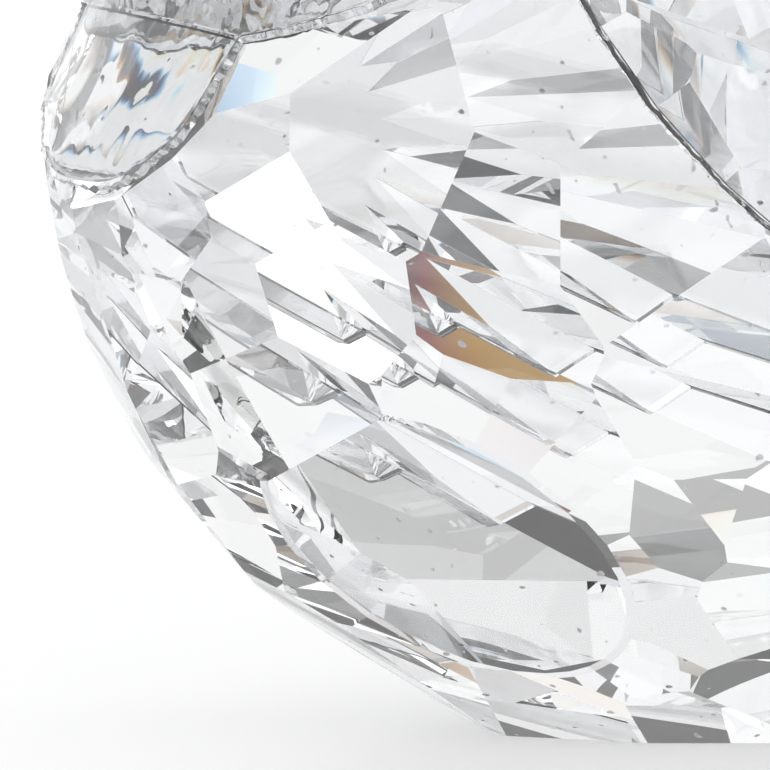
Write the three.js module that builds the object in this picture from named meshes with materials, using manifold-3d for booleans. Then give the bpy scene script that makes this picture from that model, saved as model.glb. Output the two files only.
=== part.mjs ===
// A cut crystal swan figurine, in millimetres, +Z up.
// The swan looks toward -X and its left side faces -Y. Four pieces of clear glass are cemented together:
// the body with its tail, the neck with its head, and two wings.
import * as THREE from 'three';
import Module from 'manifold-3d';
import { ConvexGeometry } from 'three/addons/geometries/ConvexGeometry.js';
import { mergeVertices } from 'three/addons/utils/BufferGeometryUtils.js';

const wasm = await Module();
wasm.setup();

// Driving sizes; the body's facets are ground on a ball whose middle is the drawing's zero
const ballLength = 62.6; // breast to rump
const ballWidth = 42.0; // flank to flank
const ballHeight = 59.4;
const footDrop = 27.5; // ball's middle down to the flat foot
const neckHeight = 50.0; // ball's middle to just over the crown
const wingLength = 45.5; // the longest feather, from the fan's root
const featherWidth = 13.0;
const featherThickness = 6.0;
const tailLength = 12.2; // rump to the tail's tip
const tailBury = 17.3; // rump to the tail's root inside the ball
const tailWidth = 24.0;
const tailRise = 11.4; // ball's middle up to the tail's tip
const glueLine = 0.3; // cement between two pieces
const weld = 1e-4;

const rad = THREE.MathUtils.degToRad;
const halfBall = new THREE.Vector3(ballLength / 2, ballWidth / 2, ballHeight / 2);

// Outward normal of a facet: its tilt above the horizon, and its turn from the breast toward the left flank
function facing(tilt, turn) {
  const level = Math.cos(rad(tilt));
  return new THREE.Vector3(-level * Math.cos(rad(turn)), -level * Math.sin(rad(turn)), Math.sin(rad(tilt)));
}

const mirrored = (v) => new THREE.Vector3(v.x, -v.y, v.z);

// Distance from the ball's middle to the plane that touches the ball with this normal
const touch = (normal) => normal.clone().multiply(halfBall).length();

function solidOf(geometry) {
  const bare = new THREE.BufferGeometry();
  bare.setAttribute('position', geometry.getAttribute('position'));
  if (geometry.index) bare.setIndex(geometry.index);
  const welded = mergeVertices(bare, weld);
  return new wasm.Manifold(new wasm.Mesh({
    numProp: 3,
    vertProperties: new Float32Array(welded.attributes.position.array),
    triVerts: new Uint32Array(welded.index.array),
  }));
}

// Grinds a solid down to the plane normal . p = reach
const grind = (solid, normal, reach) =>
  solid.trimByPlane([-normal.x, -normal.y, -normal.z], -reach);

// The plane of a facet, cut a given depth below the ball
function planeCut({ tilt, turn, cut }) {
  const normal = facing(tilt, turn);
  return { normal, reach: touch(normal) - cut };
}

const onBothSides = (plane) => [plane, { normal: mirrored(plane.normal), reach: plane.reach }];

// Flank facets, each as tilt, turn and depth of the cut below the ball; each is cut on both flanks
const flankFacets = {
  breastHigh: [-9, 9, 0.0],
  breastSide: [-10, 26, 0.3],
  breastLow: [-19, 7, 0.0],
  breastChip: [-16, 25.5, 0.15],
  keelSide: [-26, 14, 0.0],
  shoulderWindow: [-9, 39, 0.46],
  shoulderHigh: [-2, 35, 0.52],
  shoulderRear: [-2.5, 50, 0.55],
  windowLowFront: [-17.5, 34.5, 0.45],
  windowLowRear: [-16, 43, 0.55],
  cheekFront: [-25, 38, 0.6],
  cheekRear: [-22, 53, 0.3],
  keelLow: [-40, 19, 0.0],
  footFront: [-57, 26, 0.4],
  footSide: [-59, 42, 0.5],
  footRear: [-49, 60, 0.2],
  footHeel: [-58, 65, 0.3],
  thighLow: [-41, 68, 0.2],
  thighMid: [-30, 68, 0.25],
  thighChip: [-27, 73, 0.15],
  thighHigh: [-21, 73, 0.2],
  flankFront: [-7, 60, 0.3],
  flankMid: [-15, 58, 0.3],
  flankHigh: [1, 63, 0.3],
  flankRear: [-7, 70, 0.3],
  sideFront: [-14, 75, 0.2],
  sideWindow: [-6, 91, 1.25],
  sideLow: [-28, 79, 0.2],
  sideFoot: [-37, 77, 0.2],
  sideHeel: [-50, 76, 0.2],
};

// The keel facets lie across the breast's middle line, so they are cut once
const keelFacets = [[-33, 0, -0.6], [-45, 0, -0.6], [-57, 0, 0.3]];

// The rear and the top of the ball are cut in plain tiers
const tiers = [
  { tilt: -6, cut: 0.3, turns: [103, 113, 124, 137, 151, 165, 180] },
  { tilt: -14, cut: 0.25, turns: [96, 107, 118, 130, 144, 158, 173] },
  { tilt: -22, cut: 0.3, turns: [94, 104, 115, 127, 140, 153, 167, 180] },
  { tilt: -30, cut: 0.25, turns: [98, 110, 122, 135, 149, 164] },
  { tilt: -38, cut: 0.3, turns: [96, 109, 123, 138, 154, 170] },
  { tilt: -46, cut: 0.25, turns: [103, 119, 136, 153, 172] },
  { tilt: -54, cut: 0.35, turns: [98, 117, 136, 155, 175] },
  { tilt: 12, cut: 0.3, turns: [4, 22, 40, 58, 76, 88, 100, 112, 125, 138, 152, 166] },
  { tilt: 20, cut: 0.25, turns: [82, 94, 106, 118, 131, 145, 159, 173] },
  { tilt: 28, cut: 0.3, turns: [12, 34, 56, 78, 92, 106, 120, 134, 148, 166] },
];

// The large oval facet low on the flank, with a polished rounded rim
const table = { tilt: -37.5, turn: 47, cut: 1.2, length: 16.0, width: 11.0, lean: -45 };
const tableRim = { sides: 30, tilts: [7, 15], step: 0.35 };

// The body is ground flat where the neck and the wings are cemented on, and along the back between them
const neckFront = { tilt: 30, turn: 0, cut: 6.9 };
const neckSide = { tilt: 30, turn: 25, cut: 5.1 };
const neckTop = { tilt: 67, turn: 0, cut: 18.0 };
const backSlope = { tilt: 78, turn: 145, cut: 20.7 };
const wingSeat = { tilt: 22.7, turn: 104, cut: 9.75 };

function planesOfBall() {
  const planes = [];
  const add = (tilt, turn, cut) => {
    const plane = planeCut({ tilt, turn, cut });
    planes.push(...(turn % 180 === 0 ? [plane] : onBothSides(plane)));
  };
  for (const [tilt, turn, cut] of Object.values(flankFacets)) add(tilt, turn, cut);
  for (const [tilt, turn, cut] of keelFacets) add(tilt, turn, cut);
  for (const { tilt, cut, turns } of tiers) for (const turn of turns) add(tilt, turn, cut);
  return planes;
}

// The oval facet: one plane, and rings of small bevels that touch an oval drawn on it
function planesOfTable() {
  const { normal, reach } = planeCut(table);
  const middle = normal.clone().multiply(halfBall).multiply(halfBall).divideScalar(touch(normal));
  middle.addScaledVector(normal, reach - middle.dot(normal));
  const along = new THREE.Vector3(-normal.y, normal.x, 0).normalize();
  if (along.x < 0) along.negate();
  const climb = new THREE.Vector3().crossVectors(along, normal);
  if (climb.z < 0) climb.negate();
  const planes = [{ normal, reach }];
  for (let side = 0; side < tableRim.sides; side += 1) {
    const angle = (2 * Math.PI * side) / tableRim.sides;
    const out = along.clone().multiplyScalar(Math.cos(angle + rad(table.lean)))
      .addScaledVector(climb, Math.sin(angle + rad(table.lean)));
    const radius = Math.hypot((table.length / 2) * Math.cos(angle), (table.width / 2) * Math.sin(angle));
    tableRim.tilts.forEach((tilt, ring) => {
      const bevel = normal.clone().multiplyScalar(Math.cos(rad(tilt))).addScaledVector(out, Math.sin(rad(tilt)));
      const edge = middle.clone().addScaledVector(out, radius + ring * tableRim.step)
        .addScaledVector(normal, -ring * tableRim.step * Math.tan(rad(tableRim.tilts[0])));
      planes.push({ normal: bevel, reach: bevel.dot(edge) });
    });
  }
  return planes.flatMap(onBothSides);
}

const ballPlanes = planesOfBall();
const tablePlanes = planesOfTable();
const neckSeats = [planeCut(neckFront), ...onBothSides(planeCut(neckSide)), planeCut(neckTop)];
const wingSeatPlane = planeCut(wingSeat);
const seatPlanes = [...neckSeats, ...onBothSides(planeCut(backSlope)), ...onBothSides(wingSeatPlane)];
const foot = { normal: new THREE.Vector3(0, 0, -1), reach: footDrop };

// A block ground by planes, each moved out by grow
function ground(planes, grow = 0) {
  let solid = solidOf(new THREE.BoxGeometry(2 * ballLength, 2 * ballWidth, 2 * ballHeight));
  for (const { normal, reach } of planes) solid = grind(solid, normal, reach + grow);
  return solid;
}

// The tail is a wedge that rises to a blunt tip. Each section stands at a share of the way from its root
// to its tip, and its corners are shares of the tail's half width and rise
const tailSections = [
  { along: 0, corners: [[0.875, -1.05], [1, -0.175], [0.625, 0.48]] },
  { along: 0.575, corners: [[0.46, -0.48], [0.635, 0.175], [0.385, 0.63]] },
  { along: 1, corners: [[0.115, 0.58], [0.215, 0.79], [0.115, 1]] },
];

function tail(grow = 0) {
  const root = ballLength / 2 - tailBury;
  const tip = ballLength / 2 + tailLength;
  const push = grow > 0 ? [-grow, grow] : [0];
  const points = [];
  for (const { along, corners } of tailSections)
    for (const [wide, high] of corners)
      for (const side of [-1, 1])
        for (const dx of push) for (const dy of push) for (const dz of push)
          points.push(new THREE.Vector3(root + along * (tip - root) + dx,
            (side * wide * tailWidth) / 2 + dy, high * tailRise + dz));
  return solidOf(new ConvexGeometry(points));
}

function bodySolid(grow = 0) {
  return ground([...ballPlanes, ...tablePlanes, ...seatPlanes, foot], grow).add(tail(grow));
}

// Wing: a covert cut from the ball's own cap, standing a little proud, and a fan of long feathers
const covertProud = 0.6; // covert above the flank
const covertTop = { tilt: 48, turn: 95, cut: 11.7 };
const covertInner = { tilt: -8, turn: 90, cut: 9.8 };
const edgeLip = 0.15; // seat to the start of the bevel along the leading edge
const edgeBevel = 39; // lean of that bevel from the seat's plane
const edgeSides = 40;

const fanAhead = 8.5; // ball's middle forward to the fan's root
const fanInset = 4.8; // flank in to the fan's root
const fanDrop = 2.5; // ball's middle down to the fan's root
const fanSplay = 6; // how far the fan leans out from upright
const fanToe = 3; // how far its front turns in
const fanFirst = 8; // angles of the lowest and the foremost feather above the way back
const fanLast = 112;
const featherLayer = 0.35; // every second feather lies this much further out
const featherCurl = 0.07; // tip's bend toward the tail, as a share of the feather
const featherBelly = 0.62; // place of the widest section, as a share of the feather
const featherShares = [0.81, 0.92, 0.99, 1, 0.955, 0.855, 0.705, 0.525]; // lengths, lowest feather first

// Flutes carved in the covert, between the feathers and on below them down to its rim. Each starts above the
// glass near the fan's root and sinks as it runs out; the heights are over the middle of the feathers
const fluteStart = 3;
const fluteEnd = 32;
const fluteHigh = 4.6;
const fluteLow = -0.6;
const fluteLowUnder = 1.2; // the same end for the flutes under the fan, where the covert is thin
const flutesUnder = 4;
const fluteSlope = 26; // lean of a flute's two sides
const fluteReach = 9; // half width of the cut, wider than any flute

// The seat cuts the ball in an ellipse; this is its reach in a direction that lies in the seat
function seatReach(direction) {
  const { normal, reach } = wingSeatPlane;
  const seen = (a, b) => a.clone().multiply(halfBall).dot(b.clone().multiply(halfBall));
  const across = seen(normal, normal);
  const slant = seen(direction, normal);
  const size = Math.sqrt(1 - reach ** 2 / across);
  return (reach * slant) / across + size * Math.sqrt(seen(direction, direction) - slant ** 2 / across);
}

function covertSolid() {
  const seat = wingSeatPlane.reach + glueLine;
  const normal = wingSeatPlane.normal;
  const top = planeCut(covertTop);
  const inner = planeCut(covertInner);
  let solid = ground(ballPlanes, covertProud);
  solid = grind(solid, normal.clone().negate(), -seat);
  solid = grind(solid, top.normal, top.reach);
  solid = grind(solid, inner.normal.clone().negate(), -inner.reach);
  const along = new THREE.Vector3(-normal.y, normal.x, 0).normalize();
  const climb = new THREE.Vector3().crossVectors(normal, along).normalize();
  for (let side = 0; side < edgeSides; side += 1) {
    const angle = (2 * Math.PI * side) / edgeSides;
    const out = along.clone().multiplyScalar(Math.cos(angle)).addScaledVector(climb, Math.sin(angle));
    const bevel = out.clone().multiplyScalar(Math.cos(rad(edgeBevel))).addScaledVector(normal, Math.sin(rad(edgeBevel)));
    const reach = Math.cos(rad(edgeBevel)) * seatReach(out) + Math.sin(rad(edgeBevel)) * (seat + edgeLip);
    solid = grind(solid, bevel, reach);
  }
  return solid;
}

// Places in the wing's fan: along a direction from the fan's root, across it, and out from the body
function fanAt(angle) {
  const fanRoot = new THREE.Vector3(-fanAhead, -(ballWidth / 2 - fanInset), -fanDrop);
  const back = new THREE.Vector3(Math.cos(rad(fanToe)), Math.sin(rad(fanToe)), 0);
  const rise = new THREE.Vector3(0, -Math.sin(rad(fanSplay)), Math.cos(rad(fanSplay)));
  const out = new THREE.Vector3().crossVectors(back, rise).normalize();
  const along = back.clone().multiplyScalar(Math.cos(rad(angle))).addScaledVector(rise, Math.sin(rad(angle)));
  const across = new THREE.Vector3().crossVectors(out, along).normalize();
  return (a, b, c) => fanRoot.clone().addScaledVector(along, a).addScaledVector(across, b).addScaledVector(out, c);
}

const featherAngle = (index) => fanFirst + ((fanLast - fanFirst) * index) / (featherShares.length - 1);

// One feather: a long flattened pyramid on both sides of its belly, curled back at the tip
function featherSolid(length, angle, layer) {
  const at = fanAt(angle);
  const belly = featherBelly * length;
  const half = featherWidth / 2;
  const thick = featherThickness / 2;
  return solidOf(new ConvexGeometry([
    at(0, -0.4 * half, layer), at(0, 0.4 * half, layer), at(0, 0, layer + thick), at(0, 0, layer - thick),
    at(belly, -half, layer), at(belly, half, layer),
    at(0.92 * belly, half / 6, layer + thick), at(0.92 * belly, half / 6, layer - thick),
    at(length, -featherCurl * length, layer),
  ]));
}

// One flute: a wide V cut that sinks from its start to its end
function fluteCut(angle, endLow) {
  const at = fanAt(angle);
  const sides = fluteReach * Math.tan(rad(fluteSlope));
  return solidOf(new ConvexGeometry([[fluteStart, fluteHigh], [fluteEnd, endLow]].flatMap(([along, low]) => [
    at(along, 0, low), at(along, -fluteReach, low + sides), at(along, fluteReach, low + sides),
  ])));
}

function wingSolid(keepOut) {
  let solid = covertSolid();
  for (let index = -flutesUnder; index + 1 < featherShares.length; index += 1)
    solid = solid.subtract(fluteCut(featherAngle(index + 0.5), index < 0 ? fluteLowUnder : fluteLow));
  featherShares.forEach((share, index) => {
    const layer = featherLayer * (index % 2 ? 1 : -1);
    solid = solid.add(featherSolid(share * wingLength, featherAngle(index), layer));
  });
  return solid.subtract(keepOut);
}

// Neck and head: smooth sections from the wide root to the beak. Each has the place of its middle behind
// the breast and above the ball's middle, its lean forward in degrees and its half widths; all but the
// lean are shares of the neck's height
const neckSections = [
  { behind: 0.396, up: -0.2, lean: 0, front: 0.38, side: 0.38 },
  { behind: 0.34, up: -0.08, lean: 0, front: 0.33, side: 0.368 },
  { behind: 0.294, up: 0.04, lean: 0, front: 0.238, side: 0.308 },
  { behind: 0.294, up: 0.16, lean: -4, front: 0.18, side: 0.196 },
  { behind: 0.328, up: 0.3, lean: -12, front: 0.13, side: 0.132 },
  { behind: 0.37, up: 0.46, lean: -8, front: 0.102, side: 0.102 },
  { behind: 0.382, up: 0.62, lean: 6, front: 0.09, side: 0.088 },
  { behind: 0.334, up: 0.77, lean: 32, front: 0.084, side: 0.082 },
  { behind: 0.25, up: 0.864, lean: 62, front: 0.092, side: 0.086 },
  { behind: 0.158, up: 0.888, lean: 94, front: 0.104, side: 0.098 },
  { behind: 0.074, up: 0.86, lean: 114, front: 0.08, side: 0.078 },
  { behind: 0.014, up: 0.816, lean: 124, front: 0.044, side: 0.048 },
  { behind: -0.098, up: 0.724, lean: 130, front: 0.014, side: 0.02 },
];
const neckSides = 24;
const neckRings = 46;
const rootTop = 3; // ball's middle up to the end of the root's ground foot

function neckLoft() {
  const middles = new THREE.CatmullRomCurve3(neckSections.map(({ behind, up }) =>
    new THREE.Vector3(behind * neckHeight - ballLength / 2, 0, up * neckHeight)), false, 'centripetal');
  const sizes = new THREE.CatmullRomCurve3(
    neckSections.map(({ lean, front, side }) => new THREE.Vector3(lean, front, side)), false, 'catmullrom', 0.4);
  const positions = [];
  const index = [];
  for (let ring = 0; ring < neckRings; ring += 1) {
    const t = ring / (neckRings - 1);
    const middle = middles.getPoint(t);
    const size = sizes.getPoint(t);
    const forward = new THREE.Vector3(-Math.cos(rad(size.x)), 0, -Math.sin(rad(size.x)));
    const [front, wide] = [size.y * neckHeight, size.z * neckHeight];
    for (let side = 0; side < neckSides; side += 1) {
      const angle = (2 * Math.PI * (side + 0.5)) / neckSides;
      const point = middle.clone().addScaledVector(forward, front * Math.cos(angle));
      point.y -= wide * Math.sin(angle);
      positions.push(point.x, point.y, point.z);
    }
  }
  const corner = (ring, side) => ring * neckSides + (side % neckSides);
  for (let ring = 0; ring + 1 < neckRings; ring += 1)
    for (let side = 0; side < neckSides; side += 1)
      index.push(corner(ring, side), corner(ring, side + 1), corner(ring + 1, side + 1),
        corner(ring, side), corner(ring + 1, side + 1), corner(ring + 1, side));
  const lowest = positions.length / 3;
  for (const ring of [0, neckRings - 1]) {
    const middle = middles.getPoint(ring / (neckRings - 1));
    positions.push(middle.x, middle.y, middle.z);
  }
  for (let side = 0; side < neckSides; side += 1) {
    index.push(lowest, corner(0, side + 1), corner(0, side));
    index.push(lowest + 1, corner(neckRings - 1, side), corner(neckRings - 1, side + 1));
  }
  const geometry = new THREE.BufferGeometry();
  geometry.setAttribute('position', new THREE.Float32BufferAttribute(positions, 3));
  geometry.setIndex(index);
  return solidOf(geometry);
}

// Only what stands on the neck's seats stays. The foot of its root is ground flush with the flank facets that
// run on under it
function neckSolid() {
  const roof = { normal: new THREE.Vector3(0, 0, 1), reach: rootTop };
  const waste = ground([roof]).subtract(ground(ballPlanes.filter(({ normal }) => normal.z < 0)));
  const loft = neckLoft().subtract(waste);
  return wasm.Manifold.union(neckSeats.map(({ normal, reach }) =>
    grind(loft, normal.clone().negate(), -(reach + glueLine))));
}

function pieceOf(solid, name, color) {
  const { vertProperties, triVerts } = solid.getMesh();
  const geometry = new THREE.BufferGeometry();
  geometry.setAttribute('position', new THREE.Float32BufferAttribute(vertProperties, 3));
  geometry.setIndex(Array.from(triVerts));
  const flat = geometry.toNonIndexed();
  flat.computeVertexNormals();
  const piece = new THREE.Mesh(flat, new THREE.MeshStandardMaterial({ color, roughness: 0.05, flatShading: true }));
  piece.name = name;
  return piece;
}

const body = bodySolid();
const keepOut = bodySolid(glueLine);
const leftWing = wingSolid(keepOut);
const rightWing = leftWing.mirror([0, 1, 0]);
const neck = neckSolid();

const swan = new THREE.Group();
swan.name = 'crystal_swan';
swan.add(
  pieceOf(body, 'body', 0xdfe9ee),
  pieceOf(neck, 'neck_and_head', 0xc9dbe6),
  pieceOf(leftWing, 'left_wing', 0xd6e6dd),
  pieceOf(rightWing, 'right_wing', 0xe6dccf),
);

// The origin is the middle of the box's floor
const box = new THREE.Box3().setFromObject(swan);
const middle = box.getCenter(new THREE.Vector3());
swan.position.set(-middle.x, -middle.y, -box.min.z);

export default swan;
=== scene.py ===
import math
import random

import bmesh
import bpy
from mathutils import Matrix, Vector
from mathutils.bvhtree import BVHTree


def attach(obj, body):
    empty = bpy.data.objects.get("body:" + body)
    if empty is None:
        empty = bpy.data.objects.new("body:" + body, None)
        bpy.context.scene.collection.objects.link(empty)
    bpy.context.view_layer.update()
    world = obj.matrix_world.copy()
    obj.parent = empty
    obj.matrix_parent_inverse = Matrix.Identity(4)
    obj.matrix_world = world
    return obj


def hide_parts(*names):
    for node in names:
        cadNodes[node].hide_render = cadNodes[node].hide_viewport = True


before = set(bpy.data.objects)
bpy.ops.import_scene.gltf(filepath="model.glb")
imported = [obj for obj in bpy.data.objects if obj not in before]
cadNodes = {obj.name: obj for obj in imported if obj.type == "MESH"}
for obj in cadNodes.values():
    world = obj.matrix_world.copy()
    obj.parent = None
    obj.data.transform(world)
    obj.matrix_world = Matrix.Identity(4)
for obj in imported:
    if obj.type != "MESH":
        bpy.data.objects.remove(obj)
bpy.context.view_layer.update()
print("frame loaded:", ", ".join(sorted(cadNodes)))


# The close-up camera looks at the lower left quarter of the swan, from the breast's left.
closeUp = {
    "azimuth": -25.0,
    "elevation": 6.5,
    "aim": (-0.01827, 0.0052, 0.0136),
    "distance": 1.4,
    "frameWidth": 0.0308,
    "sensor": 36.0,
}


def directionTo(azimuth, elevation):
    turn, rise = math.radians(azimuth), math.radians(elevation)
    return Vector((math.sin(turn) * math.cos(rise), -math.cos(turn) * math.cos(rise), math.sin(rise)))


def placeCamera():
    data = bpy.data.cameras.new("closeUpCamera")
    camera = bpy.data.objects.new("closeUpCamera", data)
    bpy.context.scene.collection.objects.link(camera)
    back = directionTo(closeUp["azimuth"], closeUp["elevation"])
    camera.location = Vector(closeUp["aim"]) + back * closeUp["distance"]
    camera.rotation_euler = (-back).to_track_quat("-Z", "Y").to_euler()
    data.sensor_width = closeUp["sensor"]
    data.lens = closeUp["sensor"] * closeUp["distance"] / closeUp["frameWidth"]
    data.clip_start, data.clip_end = 0.05, 50.0
    data.dof.use_dof = False
    bpy.context.scene.camera = camera


placeCamera()
print("camera placed")


# small wrapper: an expression on wires adds its Math nodes, or Vector Math nodes where one of the
# wires carries a vector or a colour
class Wire:
    def __init__(self, maker, socket):
        self.maker, self.socket = maker, socket
        self.threefold = socket.type in ("VECTOR", "RGBA")

    def maths(self, operation, *others, first=None):
        values = [self, *others] if first is None else [first, self]
        kind = "ShaderNodeMath"
        if any(isinstance(value, Wire) and value.threefold for value in values):
            kind = "ShaderNodeVectorMath"
            values = [[value] * 3 if isinstance(value, (int, float)) else value for value in values]
        return self.maker.add(kind, {"operation": operation}, values)

    def __add__(self, other):
        return self.maths("ADD", other)

    def __radd__(self, other):
        return self.maths("ADD", other)

    def __sub__(self, other):
        return self.maths("SUBTRACT", other)

    def __rsub__(self, other):
        return self.maths("SUBTRACT", first=other)

    def __mul__(self, other):
        return self.maths("MULTIPLY", other)

    def __rmul__(self, other):
        return self.maths("MULTIPLY", other)


mixColour = {"first": 6, "second": 7, "result": 2}  # the Mix node's own sockets for colours


class NodeMaker:
    def __init__(self, tree):
        self.tree = tree
        tree.nodes.clear()

    def add(self, kind, settings=None, inputs=None, output=0):
        node = self.tree.nodes.new(kind)
        for name, value in (settings or {}).items():
            setattr(node, name, value)
        pairs = inputs.items() if isinstance(inputs, dict) else enumerate(inputs or [])
        for key, value in pairs:
            if isinstance(value, Wire):
                self.tree.links.new(value.socket, node.inputs[key])
            elif value is not None:
                node.inputs[key].default_value = value
        return Wire(self, node.outputs[output]) if node.outputs else node

    def noise(self, place, scale, detail=0.0):
        inputs = {"Vector": place, "Scale": scale, "Detail": detail}
        return self.add("ShaderNodeTexNoise", None, inputs)

    def bump(self, height, distance):
        inputs = {"Height": height, "Distance": distance, "Strength": 1.0}
        return self.add("ShaderNodeBump", None, inputs)

    def blend(self, factor, first, second):
        inputs = {"Factor": factor, mixColour["first"]: first, mixColour["second"]: second}
        return self.add("ShaderNodeMix", {"data_type": "RGBA"}, inputs, output=mixColour["result"])


# The studio round the swan, in degrees as seen from it: azimuth 0 lies toward its left side (-Y),
# 90 toward its tail. Each panel is a soft box, a scrim or a dark flag, with its middle, its size,
# its soft edge and its light. The fringe is how far red and blue are turned from green, as the
# glass spreads them at a panel's edge. The light map is how finely Cycles charts the panels.
studio = {
    "seenByCamera": 0.97,
    "seam": -140,
    "horizon": 0.9,
    "zenith": 1.1,
    "fringe": 0.2,
    "lightMap": 512,
    "panels": {
        "windowLeft": {"at": (-70, 22), "size": (54, 50), "edge": 6, "light": 2.2},
        "slimFlag": {"at": (-30, 30), "size": (7, 56), "edge": 1.5, "light": 0.12},
        "farFlag": {"at": (-112, 30), "size": (9, 56), "edge": 2, "light": 0.12},
        "sweepBehind": {"at": (170, 24), "size": (26, 44), "edge": 6, "light": 1.9},
        "darkDoor": {"at": (49.5, 41), "size": (79, 52), "edge": 4, "light": 0.12},
        "doorSill": {"at": (44, 6), "size": (60, 2.6), "edge": 1, "light": 0.12},
        "whiteCard": {"at": (117, 6), "size": (7, 7), "edge": 1.5, "light": 1.7},
        "paleCard": {"at": (106, 12), "size": (7, 7), "edge": 1.5, "light": 0.86},
        "paleStrip": {"at": (127, 2), "size": (9, 5), "edge": 1.5, "light": 0.84},
        "greyCard": {"at": (116, 27), "size": (13, 14), "edge": 2, "light": 0.6},
        "darkSpot": {"at": (118.5, 28), "size": (2.2, 3), "edge": 1.2, "light": 0.12},
        "darkFlag": {"at": (127.5, 23), "size": (6, 16), "edge": 1.5, "light": 0.12},
        "darkStrip": {"at": (135, 5), "size": (6, 13), "edge": 1, "light": 0.1},
        "greyCloud": {"at": (143, 22), "size": (14, 16), "edge": 2, "light": 0.5},
        "greyCorner": {"at": (134, 38), "size": (18, 12), "edge": 2, "light": 0.3},
    },
}


# the sockets that Map Range and Mix keep for three values at once
threefold = {"low": 7, "high": 8, "factor": 1, "first": 4, "second": 5, "result": 1}


def buildStudio():
    world = bpy.data.worlds.new("studio")
    world.use_nodes = True
    world.cycles.sampling_method = "MANUAL"
    world.cycles.sample_map_resolution = studio["lightMap"]
    bpy.context.scene.world = world
    make = NodeMaker(world.node_tree)
    toward = make.add("ShaderNodeTexCoord", output="Generated")
    split = {axis: make.add("ShaderNodeSeparateXYZ", None, [toward], output=axis) for axis in "XYZ"}
    azimuth = split["X"].maths("ARCTAN2", -1 * split["Y"]) * (180 / math.pi)
    azimuth = azimuth.maths("WRAP", studio["seam"] + 360, studio["seam"])
    elevation = split["Z"].maths("ARCSINE") * (180 / math.pi)
    fringe = make.add("ShaderNodeCombineXYZ", None, [-studio["fringe"], 0.0, studio["fringe"]])
    angles = (fringe + azimuth, fringe + elevation)
    light = split["Z"] * (studio["zenith"] - studio["horizon"]) + studio["horizon"]
    for panel in studio["panels"].values():
        inside = [
            make.add(
                "ShaderNodeMapRange",
                {"data_type": "FLOAT_VECTOR"},
                {
                    "Vector": (angle - middle).maths("ABSOLUTE"),
                    threefold["low"]: [size / 2 + panel["edge"] / 2] * 3,
                    threefold["high"]: [size / 2 - panel["edge"] / 2] * 3,
                },
                output="Vector",
            )
            for angle, middle, size in zip(angles, panel["at"], panel["size"])
        ]
        light = make.add(
            "ShaderNodeMix",
            {"data_type": "VECTOR", "factor_mode": "NON_UNIFORM"},
            {
                threefold["factor"]: inside[0] * inside[1],
                threefold["first"]: light,
                threefold["second"]: [panel["light"]] * 3,
            },
            output=threefold["result"],
        )
    seen = make.add("ShaderNodeLightPath", output="Is Camera Ray")
    shown = light + (studio["seenByCamera"] - light) * seen
    background = make.add("ShaderNodeBackground", None, {"Color": shown, "Strength": 1.0})
    make.add("ShaderNodeOutputWorld", None, {"Surface": background})


# the table is a pale sheet lit from below as well, so that the shadow under the swan stays faint
tableTop = {
    "reach": 8.0,
    "under": 0.00003,
    "shade": (0.5, 0.5, 0.505, 1),
    "colour": (0.52, 0.52, 0.522, 1),
    "clouds": 90.0,
    "cloudDetail": 3.0,
    "roughness": 0.6,
    "sheen": 0.2,
    "glow": 0.47,
}


def matteWhite():
    material = bpy.data.materials.new("studioTable")
    material.use_nodes = True
    make = NodeMaker(material.node_tree)
    place = make.add("ShaderNodeTexCoord", output="Object")
    clouds = make.noise(place, tableTop["clouds"], tableTop["cloudDetail"])
    colour = make.blend(clouds, tableTop["shade"], tableTop["colour"])
    shader = make.add(
        "ShaderNodeBsdfPrincipled",
        None,
        {
            "Base Color": colour,
            "Roughness": tableTop["roughness"],
            "Specular IOR Level": tableTop["sheen"],
            "Emission Color": (1, 1, 1, 1),
            "Emission Strength": tableTop["glow"],
        },
    )
    make.add("ShaderNodeOutputMaterial", None, {"Surface": shader})
    return material


def layTable():
    shape = bmesh.new()
    bmesh.ops.create_grid(shape, x_segments=1, y_segments=1, size=tableTop["reach"])
    bmesh.ops.translate(shape, verts=shape.verts, vec=(0, 0, -tableTop["under"]))
    mesh = bpy.data.meshes.new("table")
    shape.to_mesh(mesh)
    shape.free()
    table = bpy.data.objects.new("table", mesh)
    bpy.context.scene.collection.objects.link(table)
    table.data.materials.append(matteWhite())


buildStudio()
layTable()
print("studio lit")


crystal = {"ior": 1.6, "colour": (0.985, 0.99, 0.995, 1), "dust": (0.42, 0.42, 0.45, 1)}


# Clear crystal under a few specks of dust. Its waves come from the maker of each finish.
def clearCrystal(name, finish):
    material = bpy.data.materials.new(name)
    material.use_nodes = True
    make = NodeMaker(material.node_tree)
    place = make.add("ShaderNodeTexCoord", output="Object")
    normal, polish = finish(make, place)
    speck = dustSpecks(make, place)
    colour = make.blend(speck, crystal["colour"], crystal["dust"])
    glass = make.add(
        "ShaderNodeBsdfPrincipled",
        {"distribution": "GGX"},
        {
            "Base Color": colour,
            "Roughness": speck * specks["roughness"] + polish,
            "IOR": crystal["ior"],
            "Normal": normal,
            "Transmission Weight": 1.0,
        },
    )
    make.add("ShaderNodeOutputMaterial", None, {"Surface": glass})
    return material


specks = {"scale": 1700.0, "from": 0.83, "to": 0.88, "roughness": 0.5}


def dustSpecks(make, place):
    inputs = {"Value": make.noise(place, specks["scale"])}
    inputs |= {"From Min": specks["from"], "From Max": specks["to"]}
    return make.add("ShaderNodeMapRange", None, inputs)


# ground facets are flat but for the faint waves that the lap leaves
lapped = {"waves": 110.0, "waveHeight": 0.00005}


def lappedFinish(make, place):
    return make.bump(make.noise(place, lapped["waves"]), lapped["waveHeight"]), 0.0


# the neck is pulled hot: ripples ring its root, long across and short up the neck
drawn = {
    "lean": (0.0, -60.0, -25.0),
    "ripples": 1300.0,
    "detail": 1.0,
    "across": 0.2,
    "height": 0.00005,
}


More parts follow.
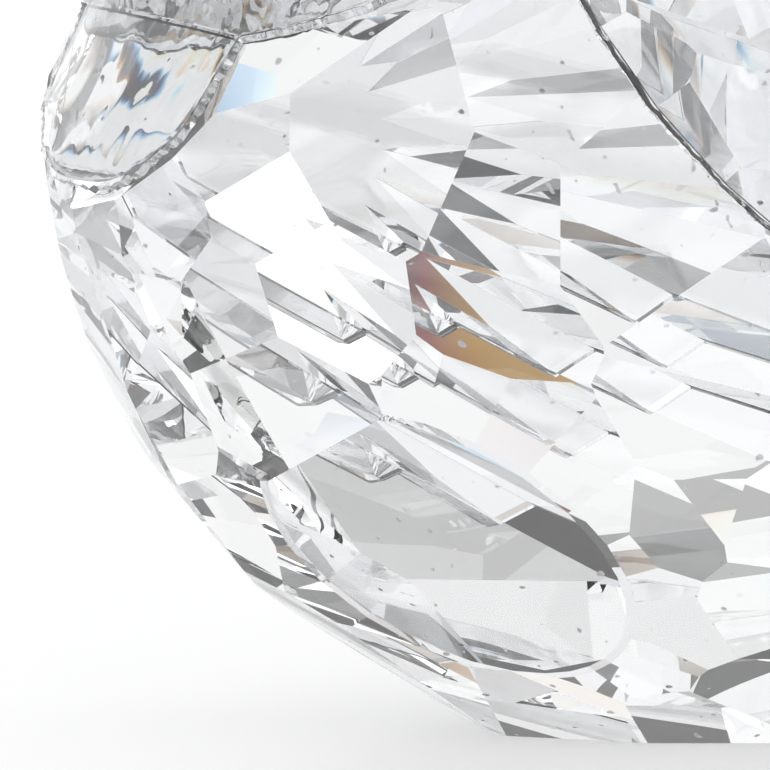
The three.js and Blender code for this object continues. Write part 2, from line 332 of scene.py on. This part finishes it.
def drawnFinish(make, place):
    turned = make.add(
        "ShaderNodeMapping",
        {"vector_type": "TEXTURE"},
        {"Vector": place, "Rotation": [math.radians(angle) for angle in drawn["lean"]]},
    )
    across = drawn["across"]
    stretched = turned * make.add("ShaderNodeCombineXYZ", None, [across, across, 1.0])
    ripples = make.noise(stretched, drawn["ripples"], drawn["detail"])
    return make.bump(ripples, drawn["height"]), 0.0


# set cement: fine bubbles and wrinkles, less clear than the glass
setCement = {
    "bubbles": 2600.0,
    "bubbleHeight": 0.000015,
    "wrinkles": 900.0,
    "wrinkleDetail": 3.0,
    "wrinkleHeight": 0.00005,
    "dullFrom": 0.4,
    "dullTo": 0.7,
    "dull": 0.12,
}


def cementFinish(make, place):
    inputs = {"Vector": place, "Scale": setCement["bubbles"]}
    bubbles = make.add("ShaderNodeTexVoronoi", {"feature": "F1"}, inputs)
    wrinkles = make.noise(place, setCement["wrinkles"], setCement["wrinkleDetail"])
    height = bubbles * setCement["bubbleHeight"] + wrinkles * setCement["wrinkleHeight"]
    inputs = {"Value": wrinkles, "From Min": setCement["dullFrom"], "From Max": setCement["dullTo"]}
    polish = make.add("ShaderNodeMapRange", None, inputs | {"To Max": setCement["dull"]})
    return make.bump(height, 1.0), polish


groundCrystal = clearCrystal("groundCrystal", lappedFinish)
drawnCrystal = clearCrystal("drawnCrystal", drawnFinish)
cementGlass = clearCrystal("cementGlass", cementFinish)


merging = {"within": 2e-6, "sameFace": 0.35}


# A CAD node comes as loose triangles: its copy is welded, and each ground face is made whole again.
def mergedCopy(node):
    shape = bmesh.new()
    shape.from_mesh(cadNodes[node].data)
    bmesh.ops.remove_doubles(shape, verts=shape.verts, dist=merging["within"])
    bmesh.ops.dissolve_limit(
        shape, angle_limit=math.radians(merging["sameFace"]), verts=shape.verts, edges=shape.edges
    )
    return shape


def makePiece(name, shape, finish, *replaced):
    mesh = bpy.data.meshes.new(name)
    shape.to_mesh(mesh)
    openEdges = sum(not edge.is_manifold for edge in shape.edges)
    shape.free()
    piece = bpy.data.objects.new(name, mesh)
    bpy.context.scene.collection.objects.link(piece)
    mesh.materials.append(finish)
    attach(piece, "root")
    if replaced:
        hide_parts(*replaced)
    print(name, len(mesh.polygons), "faces", openEdges, "open edges")
    return piece


# polished arrises: each sharp edge loses a sliver, as the polishing lap leaves it
arris = {"width": 0.00004, "sharperThan": 5.0}


def easeArrises(shape):
    sharp = math.radians(arris["sharperThan"])
    bmesh.ops.bevel(
        shape,
        geom=[edge for edge in shape.edges if edge.calc_face_angle(0) > sharp],
        offset=arris["width"],
        affect="EDGES",
        segments=1,
        profile=0.5,
        material=-1,
        clamp_overlap=True,
    )


def groundPiece(name, node):
    shape = mergedCopy(node)
    easeArrises(shape)
    return makePiece(name, shape, groundCrystal, node)


groundPiece("breastBall", "body")
groundPiece("leftWing", "left_wing")
groundPiece("rightWing", "right_wing")
print("ground pieces made")


neckFinish = {"faceAngle": 25.0, "pairAngle": 20.0, "pairShape": 60.0, "levels": 2}


def drawNeck():
    shape = mergedCopy("neck_and_head")
    bmesh.ops.join_triangles(
        shape,
        faces=shape.faces,
        angle_face_threshold=math.radians(neckFinish["pairAngle"]),
        angle_shape_threshold=math.radians(neckFinish["pairShape"]),
    )
    crease = shape.edges.layers.float.new("crease_edge")
    for face in shape.faces:
        face.smooth = True
    for edge in shape.edges:
        if edge.calc_face_angle(0) > math.radians(neckFinish["faceAngle"]):
            edge[crease] = 1.0
            edge.smooth = False
    piece = makePiece("neckAndHead", shape, drawnCrystal, "neck_and_head")
    rounding = piece.modifiers.new("rounding", "SUBSURF")
    rounding.levels = rounding.render_levels = neckFinish["levels"]
    return piece


drawNeck()
print("neck drawn")


# Each joint is filled with a film of cement. The faces of a seat lie within the gap from the body
# and face it. The squeezed lengths are how far the cement may stand out of each joint.
cement = {
    "gap": 0.0005,
    "facing": -0.7,
    "film": 0.00042,
    "overlap": 0.00006,
    "step": 0.0004,
    "rimTilt": 0.6,
    "seed": 11,
}
squeezed = {"neckCement": 0.00026, "leftWingCement": 0.00014, "rightWingCement": 0.0}
joined = {"neckCement": "neck_and_head", "leftWingCement": "left_wing", "rightWingCement": "right_wing"}
random.seed(cement["seed"])


def seatFaces(shape, bodyTree):
    found = []
    for face in shape.faces:
        _, normal, _, distance = bodyTree.find_nearest(face.calc_center_median())
        if distance < cement["gap"] and face.normal.dot(normal) < cement["facing"]:
            found.append(face)
    return found


# the film's outline is cut into short steps, and each is squeezed out of the joint by its own length
def squeezeOut(shape, furthest):
    while True:
        rim = [edge for edge in shape.edges if edge.is_boundary]
        long = [edge for edge in rim if edge.calc_length() > cement["step"]]
        if not long:
            break
        bmesh.ops.subdivide_edges(shape, edges=long, cuts=1)
    shape.normal_update()
    pushes = {}
    for edge in shape.edges:
        if edge.is_boundary:
            face = edge.link_faces[0]
            first, second = edge.verts
            out = (second.co - first.co).cross(face.normal).normalized()
            if out.dot(first.co - face.calc_center_median()) < 0:
                out.negate()
            for vert in edge.verts:
                pushes.setdefault(vert, []).append(out)
    for vert, outs in pushes.items():
        vert.co += sum(outs, Vector()).normalized() * random.uniform(0, furthest)


def cementFilm(name, node, bodyTree):
    shape = mergedCopy(node)
    seat = seatFaces(shape, bodyTree)
    bmesh.ops.delete(shape, geom=[face for face in shape.faces if face not in seat], context="FACES")
    seatNormals = [face.normal.copy() for face in shape.faces]
    squeezeOut(shape, squeezed[name])
    for vert in shape.verts:
        vert.co -= vert.normal * cement["overlap"]
    bmesh.ops.solidify(shape, geom=shape.faces, thickness=-cement["film"])
    bmesh.ops.recalc_face_normals(shape, faces=shape.faces)
    for face in shape.faces:
        nearest = max(abs(face.normal.dot(normal)) for normal in seatNormals)
        if squeezed[name] and nearest < cement["rimTilt"]:
            face.material_index = 1  # the rim, where the cement shows
    piece = makePiece(name, shape, groundCrystal)
    if squeezed[name]:
        piece.data.materials.append(cementGlass)
    return piece


bodyShape = mergedCopy("body")
bodyTree = BVHTree.FromBMesh(bodyShape)
for name, node in joined.items():
    cementFilm(name, node, bodyTree)
bodyShape.free()
print("joints cemented")


bounces = {"max": 16, "transmission": 16, "glossy": 12, "diffuse": 1}
scene = bpy.context.scene
scene.view_settings.view_transform = "Standard"
for kind, count in bounces.items():
    setattr(scene.cycles, kind + "_bounces", count)
